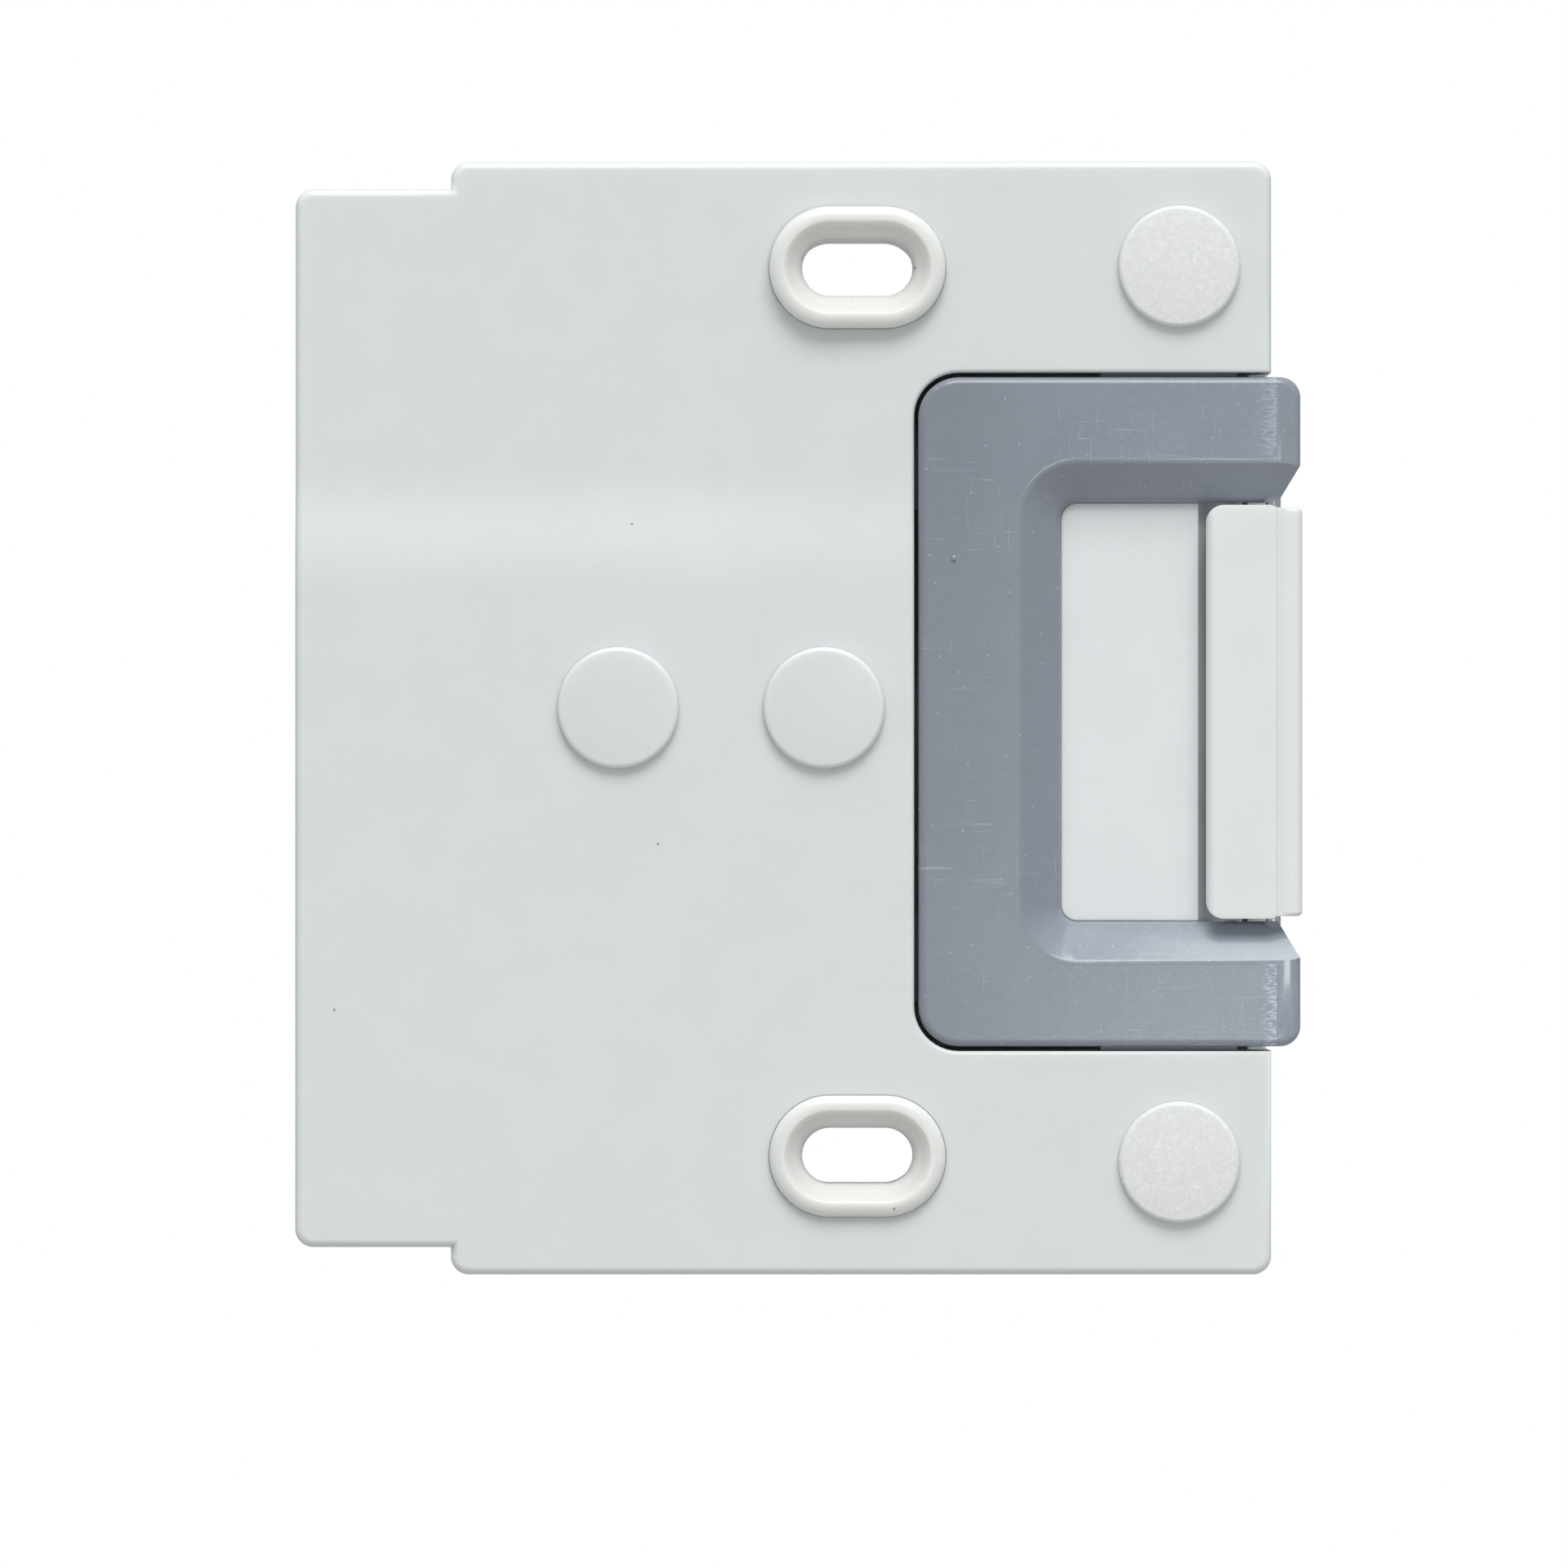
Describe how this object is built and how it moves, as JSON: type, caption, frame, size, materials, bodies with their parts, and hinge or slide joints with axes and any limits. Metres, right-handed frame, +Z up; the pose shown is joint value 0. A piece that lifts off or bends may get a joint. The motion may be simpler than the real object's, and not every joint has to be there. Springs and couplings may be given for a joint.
{
  "type": "stair gate latch",
  "caption": "Wall-side stair gate keeper: flat box with slotted screw collars, a C-shaped press-in release lever round a bolt pocket, and a sprung pawl.",
  "frame": {"origin": "on the wall-contact face, midway between the two screw slots", "axes": "+X towards the lever's open side, the side the gate's bolt comes from; +Y out of the back face, into the wall; +Z up, along the longer side of the plate"},
  "size_m": [0.0993, 0.0212, 0.1098],
  "materials": {
    "white_shell": "satin moulded cool white plastic",
    "white_base": "plain moulded white plastic",
    "collar_plastic": "slightly warmer white moulded plastic",
    "frosted_pad": "frosted, finely grained",
    "white_pad": "smooth satin",
    "pin_steel": "ground",
    "spring_steel": "drawn wire",
    "zinc_steel": "zinc plated",
    "grey_nylon": "blue-grey glass-filled nylon, scuffed",
    "white_tray": "satin moulded white plastic",
    "white_pawl": "satin acetal"
  },
  "bodies": {
    "housing": {"front_cover": "white_shell", "back_plate": "white_base", "screw_collar_upper": "collar_plastic", "screw_collar_lower": "collar_plastic", "corner_pad_upper": "frosted_pad", "corner_pad_lower": "frosted_pad", "centre_pad_left": "white_pad", "centre_pad_right": "white_pad", "pivot_pin": "pin_steel", "pivot_clip_upper": "spring_steel", "pivot_clip_lower": "spring_steel", "return_spring_upper": "spring_steel", "return_spring_lower": "spring_steel", "case_screws": "zinc_steel"},
    "lever": {"release_lever": "grey_nylon", "pocket_tray": "white_tray", "tray_screws": "zinc_steel", "pawl_pin": "pin_steel", "pawl_pin_clip_upper": "spring_steel", "pawl_pin_clip_lower": "spring_steel", "pawl_spring_upper": "spring_steel", "pawl_spring_lower": "spring_steel"},
    "pawl": {"latch_pawl": "white_pawl"}
  },
  "joints": [
    {"name": "lever_hinge", "type": "hinge", "parent": "housing", "child": "lever", "pos_m": [0.001, -0.01, 0], "axis": [0, 0, 1], "range_deg": [0, 7], "stiffness_Nm_per_rad": 2.5, "springref_deg": -5.73, "deforming": ["return_spring_upper", "return_spring_lower"]},
    {"name": "pawl_hinge", "type": "hinge", "parent": "lever", "child": "pawl", "pos_m": [0.0411, -0.01685, 0], "axis": [0, 0, -1], "range_deg": [0, 25], "stiffness_Nm_per_rad": 0.06, "springref_deg": -22.92, "deforming": ["pawl_spring_upper", "pawl_spring_lower"]}
  ]
}
